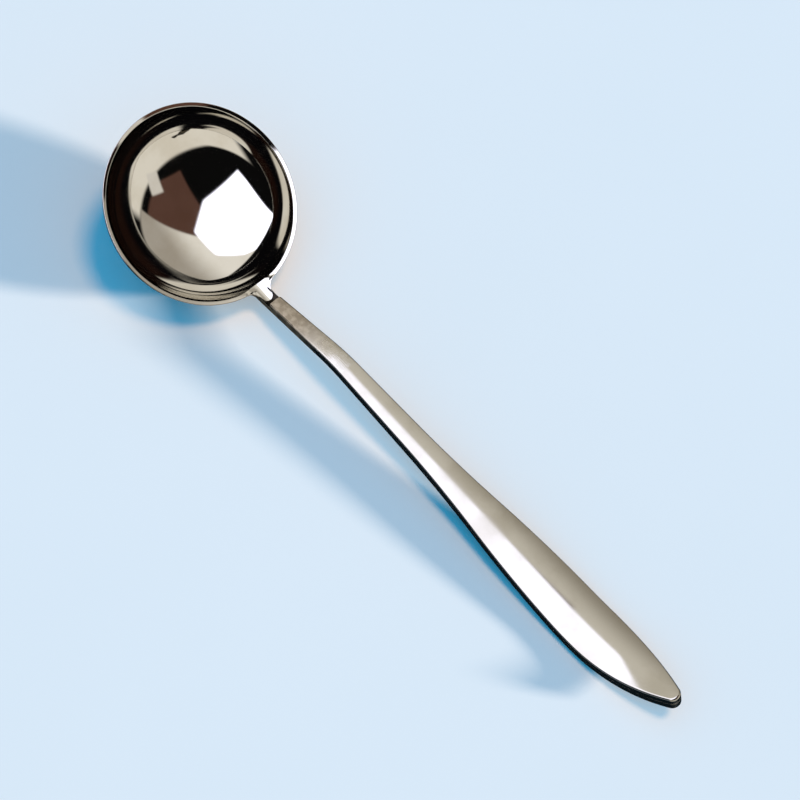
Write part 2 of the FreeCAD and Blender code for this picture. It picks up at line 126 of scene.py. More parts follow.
# The handle's walls lean, to stand square to its tip.
TIP_SLOPE = math.asin((TIP_X - BELLY_X) / BELLY_ARC)
TIP_HEIGHT = BELLY_ARC * (1 - math.cos(TIP_SLOPE))
TIP_LEAN = math.tan(TIP_SLOPE)

# The handle from above: half widths, a straight flank and a swelling of two equal arcs.
NECK_HALF = 2.8
SHANK_HALF = 5.2
BELLY_HALF = 11.2
ROOT_FLARE_ROUND = 3.0
TIP_ROUND = 3.4
FLANK_RUN = SHANK_X - ROOT_X
FLANK_DROP = NECK_HALF + ROOT_FLARE_ROUND - SHANK_HALF
FLANK_TURN = math.asin(ROOT_FLARE_ROUND / math.hypot(FLANK_RUN, FLANK_DROP))
FLANK_LEAN = FLANK_TURN - math.atan2(FLANK_DROP, FLANK_RUN)
SWELL_RUN = BELLY_X - SHANK_X
SWELL_RISE = BELLY_HALF - SHANK_HALF
SWELL_BEND = SWELL_RUN * math.sin(FLANK_LEAN) - SWELL_RISE * (1 + math.cos(FLANK_LEAN))
SWELL_SQUARE = SWELL_RUN**2 + SWELL_RISE**2
SWELL_ROOT = math.sqrt(SWELL_BEND**2 + 2 * (1 - math.cos(FLANK_LEAN)) * SWELL_SQUARE)
SWELL_ROUND = SWELL_SQUARE / (SWELL_ROOT - SWELL_BEND)

# How fine the meshes are, and the angle in degrees past which an edge looks sharp.
BOWL_COLUMNS = 420
BEAK_CROWDING = 0.75
INNER_ROWS = 56
OUTER_ROWS = 48
BOWL_WALL_ROWS = 12
LIP_ROWS = 8
LAND_SHARES = (0.25, 0.5, 0.75)
RIM_EDGE_ROWS = 7
SKIRT_SHARES = (0.25, 0.5, 0.75, 1.0)
FLANK_COLUMNS = 56
RING_COLUMNS = 3
SWELL_COLUMNS = 70
TAPER_COLUMNS = 72
TIP_COLUMNS = 22
HANDLE_WALL_ROWS = 5
CREASE_ROWS = 8
TOP_ROWS = 26
UNDERSIDE_ROWS = 16
BOWL_SHARP = 50
HANDLE_SHARP = 60
SOLID_SHARP = 35

# Points of a mesh nearer than the first become one, and edges under the second go, in metres.
MERGE_GAP = 2e-6
LEAST_EDGE = 1e-7


class Wiring:
    """Short calls to add and join nodes of one tree."""

    def __init__(self, tree):
        self.nodes = tree.nodes
        self.links = tree.links

    def feed(self, socket, source):
        """Join a socket to another one, or set its value."""
        if hasattr(source, "is_output"):
            self.links.new(source, socket)
        else:
            socket.default_value = source

    def node(self, kind, fed=None, **settings):
        """A new node with its settings, and then its sockets fed by name or by number."""
        node = self.nodes.new(kind)
        for name, value in settings.items():
            setattr(node, name, value)
        for socket, source in (fed or {}).items():
            self.feed(node.inputs[socket], source)
        return node

    def math(self, kind, *sources):
        return self.node("ShaderNodeMath", dict(enumerate(sources)), operation=kind).outputs[0]

    def rise(self, mask, least, more):
        """A value that is at its least where a mask is 0, and has more added where it is 1."""
        return self.math("MULTIPLY_ADD", mask, more, least)

    def either(self, test, no, yes):
        """One of two values in a geometry tree."""
        fed = dict(enumerate((test, no, yes)))
        return self.node("GeometryNodeSwitch", fed, input_type="FLOAT").outputs[0]

    def dot(self, vector, direction):
        fed = {0: vector, 1: direction}
        return self.node("ShaderNodeVectorMath", fed, operation="DOT_PRODUCT").outputs["Value"]

    def coordinates(self, kind="Object"):
        return self.node("ShaderNodeTexCoord").outputs[kind]

    def stretch(self, vector, scale, location=(0, 0, 0)):
        fed = {"Vector": vector, "Location": location, "Scale": scale}
        return self.node("ShaderNodeMapping", fed).outputs[0]

    def noise(self, vector, scale, detail, roughness):
        fed = {"Vector": vector, "Scale": scale, "Detail": detail, "Roughness": roughness}
        return self.node("ShaderNodeTexNoise", fed).outputs["Fac"]

    def ramp(self, value, low, high, out_low=0.0, out_high=1.0):
        """A value that goes smoothly from one level to another between two limits."""
        fed = dict(enumerate((value, low, high, out_low, out_high)))
        return self.node("ShaderNodeMapRange", fed, interpolation_type="SMOOTHSTEP").outputs[0]

    def blend(self, factor, first, second):
        """A colour between two, by a factor."""
        node = self.node("ShaderNodeMix", {"Factor": factor}, data_type="RGBA")
        colours = [socket for socket in node.inputs if socket.type == "RGBA"]
        for socket, source in zip(colours, (first, second)):
            self.feed(socket, source)
        return next(socket for socket in node.outputs if socket.type == "RGBA")


def new_tree(name, kind, inputs, outputs):
    """A node tree with named sockets, and the short calls to wire it."""
    tree = bpy.data.node_groups.new(name, kind)
    for way, sockets in (("INPUT", inputs), ("OUTPUT", outputs)):
        for title, value in sockets.items():
            tree.interface.new_socket(title, in_out=way, socket_type="NodeSocket" + value)
    wiring = Wiring(tree)
    return tree, wiring, wiring.node("NodeGroupInput").outputs, wiring.node("NodeGroupOutput").inputs


def new_object(name, data):
    piece = bpy.data.objects.new(name, data)
    bpy.context.scene.collection.objects.link(piece)
    return piece


def applied_mesh(piece):
    """A piece's mesh with its modifiers put into it."""
    ready = piece.evaluated_get(bpy.context.evaluated_depsgraph_get())
    return bpy.data.meshes.new_from_object(ready)


def finish_piece(piece, node, material):
    """Give a finished piece its material and its place on the part, and hide the solid's node that it
    stands for.
    """
    piece.data.materials.clear()
    piece.data.materials.append(material)
    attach(piece, "root")
    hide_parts(node)


def strip_faces(count, columns, closed):
    """Quads between rows of a grid, numbered row by row, closed round its columns or not."""
    steps = columns if closed else columns - 1
    return [
        (row * columns + step, row * columns + (step + 1) % columns,
         (row + 1) * columns + (step + 1) % columns, (row + 1) * columns + step)
        for row in range(count - 1) for step in range(steps)
    ]


def joined(name, meshes, sharp_angle):
    """One closed mesh from parts that meet edge to edge, with its faces turned outwards."""
    work = bmesh.new()
    for mesh in meshes:
        work.from_mesh(mesh)
    bmesh.ops.remove_doubles(work, verts=work.verts, dist=MERGE_GAP)
    bmesh.ops.dissolve_degenerate(work, edges=work.edges, dist=LEAST_EDGE)
    bmesh.ops.recalc_face_normals(work, faces=work.faces)
    for face in work.faces:
        face.smooth = True
    for edge in work.edges:
        edge.smooth = edge.calc_face_angle(0.0) < math.radians(sharp_angle)
    result = bpy.data.meshes.new(name)
    work.to_mesh(result)
    work.free()
    if "custom_normal" in result.attributes:
        result.attributes.remove(result.attributes["custom_normal"])
    return result


# The bowl: two turned skins, and rows round the rim between them.
def skin_tree():
    """Geometry nodes that turn a skin from two arcs, with its columns crowded towards the beak."""
    numbers = (
        "Bottom Round", "Side Round", "Bottom Up", "Side Out", "Side Up",
        "Joint Angle", "Rim Angle", "Crowding")
    sockets = dict.fromkeys(numbers, "Float")
    sockets.update({"Columns": "Int", "Rows": "Int", "Material": "Material"})
    tree, wiring, given, out = new_tree(
        "turned_bowl_skin", "GeometryNodeTree", sockets, {"Skin": "Geometry"})
    grid = wiring.node("GeometryNodeMeshGrid", {
        "Size X": 1.0, "Size Y": 1.0, "Vertices X": given["Columns"], "Vertices Y": given["Rows"]})
    # The grid runs from -0.5 to 0.5 both ways.
    position = wiring.node("GeometryNodeInputPosition").outputs[0]
    place = wiring.node("ShaderNodeSeparateXYZ", {0: position}).outputs
    turn = wiring.math("MULTIPLY", wiring.math("ADD", place[0], 0.5), FULL_TURN)
    crowded = wiring.math("MULTIPLY", given["Crowding"], wiring.math("SINE", turn))
    angle = wiring.math("SUBTRACT", turn, crowded)
    slope = wiring.math("MULTIPLY", wiring.math("ADD", place[1], 0.5), given["Rim Angle"])
    on_side = wiring.math("GREATER_THAN", slope, given["Joint Angle"])
    arc = wiring.either(on_side, given["Bottom Round"], given["Side Round"])
    middle = wiring.either(on_side, 0.0, given["Side Out"])
    reach = wiring.math("MULTIPLY_ADD", arc, wiring.math("SINE", slope), middle)
    centre = wiring.either(on_side, given["Bottom Up"], given["Side Up"])
    level = wiring.math("SUBTRACT", centre, wiring.math("MULTIPLY", arc, wiring.math("COSINE", slope)))
    spot = wiring.node("ShaderNodeCombineXYZ", {
        0: wiring.math("MULTIPLY", reach, wiring.math("COSINE", angle)),
        1: wiring.math("MULTIPLY", reach, wiring.math("SINE", angle)),
        2: level})
    chain = (
        grid,
        wiring.node("GeometryNodeSetPosition", {"Position": spot.outputs[0]}),
        wiring.node("GeometryNodeMergeByDistance", {"Distance": TINY}),
        wiring.node("GeometryNodeRealizeInstances"),
        wiring.node("GeometryNodeSetMaterial", {"Material": given["Material"]}),
    )
    for before, after in zip(chain, chain[1:]):
        wiring.feed(after.inputs["Geometry"], before.outputs[0])
    wiring.feed(out["Skin"], chain[-1].outputs[0])
    return tree


def bowl_skin(tree, inset, rim_angle, rows, material):
    """One skin of the bowl, set in from the outer one, in the bowl's own frame."""
    maker = new_object("bowl_skin", bpy.data.meshes.new("bowl_skin"))
    modifier = maker.modifiers.new("turned", "NODES")
    modifier.node_group = tree
    values = {
        "Bottom Round": (BOTTOM_ROUND - inset) * MM,
        "Side Round": (SIDE_ROUND - inset) * MM,
        "Bottom Up": BOTTOM_UP * MM,
        "Side Out": SIDE_OUT * MM,
        "Side Up": SIDE_UP * MM,
        "Joint Angle": JOINT_ANGLE,
        "Rim Angle": rim_angle,
        "Crowding": BEAK_CROWDING,
        "Columns": BOWL_COLUMNS + 1,
        "Rows": rows,
        "Material": material,
    }
    for item in tree.interface.items_tree:
        if item.in_out == "INPUT":
            modifier[item.identifier] = values[item.name]
    skin = applied_mesh(maker)
    bpy.data.objects.remove(maker)
    return skin


def outer_reach(level):
    """How far out the bowl's outer side is at a level under the rim."""
    return SIDE_OUT + np.sqrt(SIDE_ROUND**2 - (level - SIDE_UP)**2)


def swing(angle):
    """An angle from the beak as at most half a turn either way."""
    return (angle + math.pi) % FULL_TURN - math.pi


def beak_reach(angle):
    """How far the rim's land goes out at an angle: to the rim, the beak's flare or its tip."""
    tip = RIM_RADIUS + BEAK_REACH - BEAK_TIP_ROUND
    far = RIM_RADIUS + BEAK_FLARE_ROUND
    near = BEAK_TIP_ROUND + BEAK_FLARE_ROUND
    flare_x = (far**2 + tip**2 - near**2) / (2 * tip)
    flare_y = math.sqrt(far**2 - flare_x**2)
    spread = math.atan2(flare_y, flare_x)
    joint_x = tip + (flare_x - tip) * BEAK_TIP_ROUND / near
    joint = math.atan2(flare_y * BEAK_TIP_ROUND / near, joint_x)
    turn = np.abs(swing(angle))
    tip_half = np.sqrt(np.maximum(BEAK_TIP_ROUND**2 - (tip * np.sin(turn))**2, 0))
    across = far * np.cos(turn - spread)
    flare_half = np.sqrt(np.maximum(across**2 - far**2 + BEAK_FLARE_ROUND**2, 0))
    reaches = [tip * np.cos(turn) + tip_half, across - flare_half]
    return np.select([turn < joint, turn < spread], reaches, RIM_RADIUS)


def inner_rim_profile(land_slope, land_edge):
    """How far out and how high the rows are from the inner skin up the wall, over the lip and the land."""
    inner_round = SIDE_ROUND - BOWL_WALL
    lip_span = inner_round + RIM_ROUND
    rise = np.tan(land_slope) * (land_edge - SIDE_OUT + RIM_ROUND * np.sin(land_slope))
    fit = np.cos(land_slope) * (SIDE_UP + RIM_ROUND * np.cos(land_slope) + rise) / lip_span
    lip_angle = land_slope + np.arccos(fit)
    lip_out = SIDE_OUT + lip_span * np.sin(lip_angle)
    lip_level = SIDE_UP - lip_span * np.cos(lip_angle)
    profile = []
    for share in np.linspace(0, 1, BOWL_WALL_ROWS):
        slope = TURNED_SLOPE + share * (lip_angle - TURNED_SLOPE)
        profile.append((SIDE_OUT + inner_round * np.sin(slope), SIDE_UP - inner_round * np.cos(slope)))
    for share in np.linspace(0, 1, LIP_ROWS)[1:]:
        bend = QUARTER_TURN + lip_angle + share * (land_slope - lip_angle)
        profile.append((lip_out + RIM_ROUND * np.cos(bend), lip_level + RIM_ROUND * np.sin(bend)))
    land_start, land_level = profile[-1]
    for share in LAND_SHARES:
        profile.append((land_start + share * (land_edge - land_start), (1 - share) * land_level))
    return profile


def outer_rim_profile(land_slope, beyond):
    """How far out and how high the rows are from the land's edge down to the outer skin."""
    profile = []
    for share in np.linspace(1, 0, RIM_EDGE_ROWS):
        bend = share * (QUARTER_TURN + land_slope)
        level = EDGE_ROUND * (np.sin(bend) - 1)
        profile.append((outer_reach(level) - EDGE_ROUND * (1 - np.cos(bend)) + beyond, level))
    foot = -BEAK_THICKNESS
    profile.append((outer_reach(foot + EDGE_ROUND) + beyond, foot + EDGE_ROUND))
    profile.append((outer_reach(foot) - FOOT_INSET + beyond, foot))
    for share in SKIRT_SHARES:
        level = foot - share * (SKIRT_DEPTH - BEAK_THICKNESS)
        profile.append((outer_reach(level) + (1 - share) * beyond, level))
    return profile


def rim_rows():
    """Rows round the rim, whose land slopes in and ends at the outline of the rim and the beak."""
    turn = np.arange(BOWL_COLUMNS) / BOWL_COLUMNS * FULL_TURN
    angle = turn - BEAK_CROWDING * np.sin(turn)
    beyond = beak_reach(angle) - RIM_RADIUS
    dip = LIP_DIP + BEAK_DIP * np.exp(-(swing(angle) / BEAK_SWING)**2)
    land_slope = np.arctan2(dip, BOWL_WALL - EDGE_ROUND + beyond)
    profile = inner_rim_profile(land_slope, RIM_RADIUS + beyond - EDGE_ROUND)
    profile += outer_rim_profile(land_slope, beyond)
    rows = []
    for reach, level in profile:
        ring = np.broadcast_arrays(reach * np.cos(angle), reach * np.sin(angle), level)
        rows.append(np.stack(ring, axis=1))
    return rows


def make_bowl(material):
    rows = rim_rows()
    outer_angle = math.acos((SIDE_UP + SKIRT_DEPTH) / SIDE_ROUND)
    tree = skin_tree()
    inner = bowl_skin(tree, BOWL_WALL, TURNED_SLOPE, INNER_ROWS, material)
    outer = bowl_skin(tree, 0.0, outer_angle, OUTER_ROWS, material)
    rim = bpy.data.meshes.new("rim")
    rim.from_pydata(np.concatenate(rows) * MM, [], strip_faces(len(rows), BOWL_COLUMNS, True))
    mesh = joined("ladle_bowl", (inner, rim, outer), BOWL_SHARP)
    mesh.transform(BOWL_PLACE)
    return new_object("ladle_bowl", mesh)


# The handle's side lines.
SETTLE_ROUNDS = 30


def bend_angle(low_x, low_z, low_arc, high_x, high_z, high_arc):
    """The slope of the line between an arc at a low point and an arc at a high one."""
    run = abs(high_x - low_x)
    arcs = low_arc + high_arc
    drop = arcs - (high_z - low_z)
    return math.asin(arcs / math.hypot(run, drop)) - math.atan2(drop, run)


def side_height(x, line, lift):
    """The height of a side line over the table at x, with the line moved square to itself by a lift."""
    root, crest, belly = line
    climb = bend_angle(ROOT_X, root, ROOT_ARC, CREST_X, crest, CREST_ARC)
    fall = bend_angle(BELLY_X, belly, BELLY_ARC, CREST_X, crest, CREST_ARC)
    root_arc, crest_arc, belly_arc = ROOT_ARC - lift, CREST_ARC + lift, BELLY_ARC - lift
    root_end = ROOT_X + root_arc * math.sin(climb)
    crest_start = CREST_X - crest_arc * math.sin(climb)
    crest_end = CREST_X + crest_arc * math.sin(fall)
    belly_start = BELLY_X - belly_arc * math.sin(fall)
    root_top = root + ROOT_ARC - root_arc * math.cos(climb)
    crest_low = crest - CREST_ARC + crest_arc * math.cos(fall)

    def under(arc, centre_x):
        return np.sqrt(np.maximum(arc**2 - (x - centre_x)**2, TINY))

    return np.select(
        [x < ROOT_X, x < root_end, x < crest_start, x < crest_end, x < belly_start],
        [
            root + lift + 0 * x,
            root + ROOT_ARC - under(root_arc, ROOT_X),
            root_top + math.tan(climb) * (x - root_end),
            crest - CREST_ARC + under(crest_arc, CREST_X),
            crest_low - math.tan(fall) * (x - crest_end),
        ],
        belly + BELLY_ARC - under(belly_arc, BELLY_X),
    )


def leaned_x(plan_x, height):
    """Where an upright through a place in the plan is at a height, as it leans."""
    return plan_x - (height - TIP_HEIGHT) * TIP_LEAN


def upright_height(plan_x, line, lift):
    """Where the leaning upright through a place in the plan meets a side line."""
    height = np.full_like(plan_x, TIP_HEIGHT)
    for _ in range(SETTLE_ROUNDS):
        height = side_height(leaned_x(plan_x, height), line, lift)
    return height


def face_height(plan, side):
    """The height of the crowned top (side 1) or bottom (side -1) over places in the plan."""
    line, crown = (TOP_LINE, TOP_CROWN) if side > 0 else (BOTTOM_LINE, BOTTOM_CROWN)
    sag = crown - np.sqrt(crown**2 - plan[:, 1]**2)
    return upright_height(plan[:, 0], line, -side * sag)


# The handle's outline from above: points, their inward normals and how far in the middle line is.
Outline = namedtuple("Outline", "points normals depth")


def flank(x):
    """The handle's straight flank at places along x."""
    y = SHANK_HALF - (SHANK_X - x) * math.tan(FLANK_LEAN)
    normals = np.tile([math.sin(FLANK_LEAN), -math.cos(FLANK_LEAN)], (len(x), 1))
    return Outline(np.stack([x, y], 1), normals, y / math.cos(FLANK_LEAN))


def merged(outlines):
    """One outline from several, end to end."""
    return Outline(*(np.concatenate(group) for group in zip(*outlines)))


def swelling_outline():
    """The outline from the shank round the belly to the tip, in four arcs."""
    hollow_x = SHANK_X - SWELL_ROUND * math.sin(FLANK_LEAN)
    hollow = np.array([hollow_x, SHANK_HALF + SWELL_ROUND * math.cos(FLANK_LEAN)])
    full = np.array([BELLY_X, BELLY_HALF - SWELL_ROUND])
    turn = math.atan2(full[1] - hollow[1], full[0] - hollow[0])
    tip = np.array([TIP_X - TIP_ROUND, 0.0])
    tip_run = tip[0] - BELLY_X
    taper_round = (tip_run**2 + BELLY_HALF**2 - TIP_ROUND**2) / (2 * (BELLY_HALF - TIP_ROUND))
    taper = np.array([BELLY_X, BELLY_HALF - taper_round])
    shoulder = math.atan2(taper_round - BELLY_HALF, tip_run)
    arcs = (
        (hollow, SWELL_ROUND, FLANK_LEAN - QUARTER_TURN, turn, SWELL_COLUMNS, 1),
        (full, SWELL_ROUND, math.pi + turn, QUARTER_TURN, SWELL_COLUMNS, -1),
        (taper, taper_round, QUARTER_TURN, shoulder, TAPER_COLUMNS, -1),
        (tip, TIP_ROUND, shoulder, 0.0, TIP_COLUMNS, -1),
    )
    parts = []
    for centre, arc, first, last, count, way in arcs:
        bend = np.linspace(first, last, count)[1:]
        spoke = np.stack([np.cos(bend), np.sin(bend)], 1)
        points = centre + arc * spoke
        depth = np.full(len(bend), TIP_ROUND) if centre is tip else points[:, 1] / (-way * spoke[:, 1])
        parts.append(Outline(points, way * spoke, depth))
    return merged(parts)


def half_outline(start_x, end_x=None):
    """Half the handle's outline from a place on the flank to the tip, or to another place on the flank."""
    if end_x is not None:
        return flank(np.linspace(start_x, end_x, RING_COLUMNS))
    return merged((flank(np.linspace(start_x, SHANK_X, FLANK_COLUMNS)), swelling_outline()))


# The handle's skin, in rows along its outline. Side 1 is the top and side -1 the bottom.
NUDGE = 0.05
END_ROUNDS = 12


def crease_row(outline, side, share):
    """A row on the rounded edge, from the wall to the crowned face."""
    edge = face_height(outline.points, side)
    inner = outline.points + NUDGE * outline.normals
    climb = side * (face_height(inner, side) - edge) / NUDGE
    centre = edge + side * CREASE_ROUND * (climb - np.sqrt(1 + climb**2))
    bend = math.pi - share * (QUARTER_TURN - np.arctan(climb))
    inset = CREASE_ROUND * (1 + np.cos(bend))
    plan = outline.points + inset[:, None] * outline.normals
    return plan, centre + side * CREASE_ROUND * np.sin(bend)


def face_row(outline, side, share):
    """A row on the crowned face, from its rounded edge to the middle line."""
    edge, _ = crease_row(outline, side, 1.0)
    start = np.sum((edge - outline.points) * outline.normals, axis=1)
    inset = start + share * (outline.depth - start)
    plan = outline.points + inset[:, None] * outline.normals
    plan[:, 1] = np.maximum(plan[:, 1], 0)
    return plan, face_height(plan, side)


def wall_row(outline, side, share):
    """A row on the wall, from the seam's edge to the rounded edge."""
    seam = upright_height(outline.points[:, 0], SEAM_LINE, side * WELD_GAP / 2)
    _, edge = crease_row(outline, side, 0.0)
    return outline.points, seam + share * (edge - seam)


def shell_rules(side, face_rows):
    """The rows of one half of the handle from the seam over the rounded edge to the middle line."""
    rules = [(wall_row, side, share) for share in np.linspace(0, 1, HANDLE_WALL_ROWS)[:-1]]
    rules += [(crease_row, side, share) for share in np.linspace(0, 1, CREASE_ROWS)]
    return rules + [(face_row, side, share) for share in np.linspace(0, 1, face_rows)[1:]]


UPPER_RULES = shell_rules(1, TOP_ROWS)
LOWER_RULES = shell_rules(-1, UNDERSIDE_ROWS)
SEAM_RULES = [(wall_row, -1, 0.0), (wall_row, 1, 0.0)]


def square_end(row, side, share, x):
    """Where a row has to start in the plan for its end to lie at x once it leans."""
    begin = x
    for _ in range(END_ROUNDS):
        plan, height = row(flank(np.array([begin])), side, share)
        begin += x - leaned_x(plan[0, 0], height[0])
    return begin


def handle_grid(rules, start_x, end_x=None):
    """A part of the handle's skin as rows of points, with its ends square to the x axis."""
    rows = []
    for row, side, share in rules:
        begin = square_end(row, side, share, start_x)
        stop = None if end_x is None else square_end(row, side, share, end_x)
        plan, height = row(half_outline(begin, stop), side, share)
        rows.append(np.stack([leaned_x(plan[:, 0], height), plan[:, 1], height], axis=1))
    return rows


def skin_mesh(name, rows):
    """Both halves of a skin as one mesh, joined along the middle."""
    grid = np.concatenate(rows)
    mirrored = grid * np.array([1.0, -1.0, 1.0])
    faces = strip_faces(len(rows), len(rows[0]), False)
    flipped = [tuple(reversed(face)) for face in faces]
    meshes = []
    for places, quads in ((grid, faces), (mirrored, flipped)):
        mesh = bpy.data.meshes.new(name)
        mesh.from_pydata(places * MM, [], quads)
        meshes.append(mesh)
    return joined(name, meshes, HANDLE_SHARP)


def make_shell(name, rules, start_x, end_x=None):
    """A sheet of the handle, one wall thick."""
    piece = new_object(name, skin_mesh(name, handle_grid(rules, start_x, end_x)))
    wall = piece.modifiers.new("wall", "SOLIDIFY")
    wall.thickness = SHELL_WALL * MM
    wall.offset = -1.0
    wall.use_even_offset = False
    mesh = applied_mesh(piece)
    mesh.set_sharp_from_angle(angle=math.radians(HANDLE_SHARP))
    piece.modifiers.clear()
    piece.data = mesh
    mesh.name = piece.name
    return piece


# The neck and the weld at its root are smooth copies of their solids.
SEAT_SLACK = EDGE_ROUND / 4
POCKET_REACH = RIM_RADIUS + 3 * BEAK_REACH
POCKET_FACING = (0.7, 0.83)


def smooth_copy(name, node):
    """A welded, smooth copy of a solid's own mesh."""
    return new_object(name, joined(name, [frame["nodes"][node].data], SOLID_SHARP))


def lower_seat(neck):
    """Let the neck's seat under the beak dip with the lip that lies on it."""
    to_bowl = BOWL_PLACE.inverted()
    for corner in neck.data.vertices:
        place = to_bowl @ corner.co / MM
        on_seat = abs(place.z + BEAK_THICKNESS) < SEAT_SLACK
        if on_seat and math.hypot(place.x, place.y) < RIM_RADIUS + EDGE_ROUND:
            corner.co -= SEAT_DIP * MM * BOWL_AXIS


def mark_pocket(neck):
    """Mark the faces of the neck's pocket, whose slope stands round the beak, for the shade painted on
    them.
    """
    marks = neck.data.attributes.new("pocket", "FLOAT", "FACE")
    to_bowl = BOWL_PLACE.inverted()
    least, most = POCKET_FACING
    for face in neck.data.polygons:
        place = to_bowl @ face.center / MM
        near = math.hypot(place.x, place.y) < POCKET_REACH and place.z > -EDGE_ROUND
        marks.data[face.index].value = float(near and least < face.normal.dot(BOWL_AXIS) < most)


def make_neck():
    neck = smooth_copy("ladle_neck", "neck_shank")
    lower_seat(neck)
    mark_pocket(neck)
    return neck


# Steel finishes.
def tone(red, green, blue):
    """A colour given as display values from 0 to 255."""
    shares = [value / 255 for value in (red, green, blue)]
    return tuple(s / 12.92 if s <= 0.04045 else ((s + 0.055) / 1.055)**2.4 for s in shares) + (1.0,)


# A polish: its clear and hazy tints, the lay of its hairlines, its roughness and the hairlines' depth.
Polish = namedtuple("Polish", "tints grain centre clear hazy hairline depth")
BOWL_POLISH = Polish(
    tints=(tone(226, 224, 219), tone(216, 212, 204)),
    grain=(700.0, 700.0, 700.0),
    centre=tuple(-RIM_CENTRE),
    clear=0.03,
    hazy=0.06,
    hairline=0.02,
    depth=0.02,
)
HANDLE_POLISH = Polish(
    tints=(tone(190, 187, 178), tone(178, 174, 163)),
    grain=(60.0, 3200.0, 3200.0),
    centre=(0, 0, 0),
    clear=0.07,
    hazy=0.13,
    hairline=0.05,
    depth=0.05,
)
POLISH_HAZE = 60.0
POLISH_HEIGHT = 2e-6
HAIRLINE_LIMITS = (0.35, 0.75)
HAZE_LIMITS = (0.4, 0.7)

# The neck: dull and blotchy at the bowl, buffed towards the handle, and painted dark in its pocket as
# shade.
# A roughness here is its least and what blotches or hairlines add to it.
NECK_DULL = (tone(150, 139, 118), tone(184, 173, 150))
NECK_BUFFED = tone(186, 183, 174)
# Painted shade: the dark base colour of the neck's pocket, standing in for shade and dark reflection in the
# recess.
POCKET_PAINTED_SHADE = tone(40, 36, 32)
DULL_RUN = 18.0
BRIGHT_RUN = 2.0
BUFFED_X = (ROOT_X + DULL_RUN, MOUTH_X - BRIGHT_RUN)
NECK_GRAIN = (90.0, 4000.0, 4000.0)
NECK_HAZE = 90.0
BLOTCH_SCALE = 420.0
BLOTCH_LIMITS = (0.38, 0.68)
SATIN_ROUGHNESS = (0.48, 0.1)
BUFFED_ROUGHNESS = (0.1, 0.08)
NECK_DEPTH = 0.35

# Ground weld metal: darker, with short grinding marks.
WELD_TINTS = (tone(150, 144, 134), tone(192, 187, 178))
WELD_GRAIN = (600.0, 600.0, 3000.0)
WELD_HAZE = 200.0
WELD_ROUGHNESS = (0.22, 0.2)
WELD_DEPTH = 0.4
GROUND_HEIGHT = 2e-5


def buffing_group():
    """A group that gives the hairlines of a buffing wheel, by a stretched vector, and its haze."""
    tree, wiring, given, out = new_tree(
        "buffing_marks", "ShaderNodeTree",
        {"Vector": "Vector", "Haze Scale": "Float"}, {"Hairlines": "Float", "Haze": "Float"})
    fine = wiring.noise(given["Vector"], 1.0, detail=3.0, roughness=0.6)
    cloud = wiring.noise(wiring.coordinates(), given["Haze Scale"], detail=4.0, roughness=0.5)
    wiring.feed(out["Hairlines"], wiring.ramp(fine, *HAIRLINE_LIMITS))
    wiring.feed(out["Haze"], wiring.ramp(cloud, *HAZE_LIMITS))
    return tree


def new_steel(name):
    material = bpy.data.materials.new(name)
    material.use_nodes = True
    shader = material.node_tree.nodes["Principled BSDF"]
    shader.inputs["Metallic"].default_value = 1.0
    return material, Wiring(material.node_tree), shader


def buffing_marks(wiring, buffing, grain, haze, centre=(0, 0, 0)):
    """The hairlines and the haze of one finish."""
    vector = wiring.stretch(wiring.coordinates(), grain, centre)
    fed = {"Vector": vector, "Haze Scale": haze}
    return wiring.node("ShaderNodeGroup", fed, node_tree=buffing).outputs


def raise_hairlines(wiring, shader, marks, strength, height):
    bump = wiring.node("ShaderNodeBump", {
        "Strength": strength, "Distance": height, "Height": marks["Hairlines"]})
    wiring.feed(shader.inputs["Normal"], bump.outputs[0])


def polished_steel(name, buffing, polish):
    """Mirror polished steel with hairlines, a faint haze and a slight change of tint."""
    material, wiring, shader = new_steel(name)
    marks = buffing_marks(wiring, buffing, polish.grain, POLISH_HAZE, polish.centre)
    wiring.feed(shader.inputs["Base Color"], wiring.blend(marks["Haze"], *polish.tints))
    shine = wiring.rise(marks["Haze"], polish.clear, polish.hazy - polish.clear)
    wiring.feed(shader.inputs["Roughness"], wiring.rise(marks["Hairlines"], shine, polish.hairline))
    raise_hairlines(wiring, shader, marks, polish.depth, POLISH_HEIGHT)
    return material


def satin_neck_steel(buffing):
    """Blotchy satin steel at the bowl's end that gets brighter towards the handle, with shade painted dark
    into its pocket.
    """
    material, wiring, shader = new_steel("satin_neck_steel")
    coordinates = wiring.coordinates()
    along = wiring.node("ShaderNodeSeparateXYZ", {0: coordinates}).outputs[0]
    buffed = wiring.ramp(along, *(x * MM for x in BUFFED_X))
    marks = buffing_marks(wiring, buffing, NECK_GRAIN, NECK_HAZE)
    cloud = wiring.noise(coordinates, BLOTCH_SCALE, detail=3.0, roughness=0.6)
    blotch = wiring.ramp(cloud, *BLOTCH_LIMITS)
    pocket = wiring.node("ShaderNodeAttribute", attribute_name="pocket").outputs["Fac"]
    steel = wiring.blend(buffed, wiring.blend(blotch, *NECK_DULL), NECK_BUFFED)
    # The pocket's faces get a painted shade: a dark base colour in place of what they would mirror.
    wiring.feed(shader.inputs["Base Color"], wiring.blend(pocket, steel, POCKET_PAINTED_SHADE))
    satin = wiring.rise(blotch, *SATIN_ROUGHNESS)
    bright = wiring.rise(marks["Hairlines"], *BUFFED_ROUGHNESS)
    shine = wiring.math("MAXIMUM", buffed, pocket)
    wiring.feed(shader.inputs["Roughness"], wiring.ramp(shine, 0.0, 1.0, satin, bright))
    raise_hairlines(wiring, shader, marks, NECK_DEPTH, GROUND_HEIGHT)
    return material


def ground_weld_steel(buffing):
    material, wiring, shader = new_steel("ground_weld_steel")
    marks = buffing_marks(wiring, buffing, WELD_GRAIN, WELD_HAZE)
    wiring.feed(shader.inputs["Base Color"], wiring.blend(marks["Haze"], *WELD_TINTS))
    wiring.feed(shader.inputs["Roughness"], wiring.rise(marks["Hairlines"], *WELD_ROUGHNESS))
    raise_hairlines(wiring, shader, marks, WELD_DEPTH, GROUND_HEIGHT)
    return material


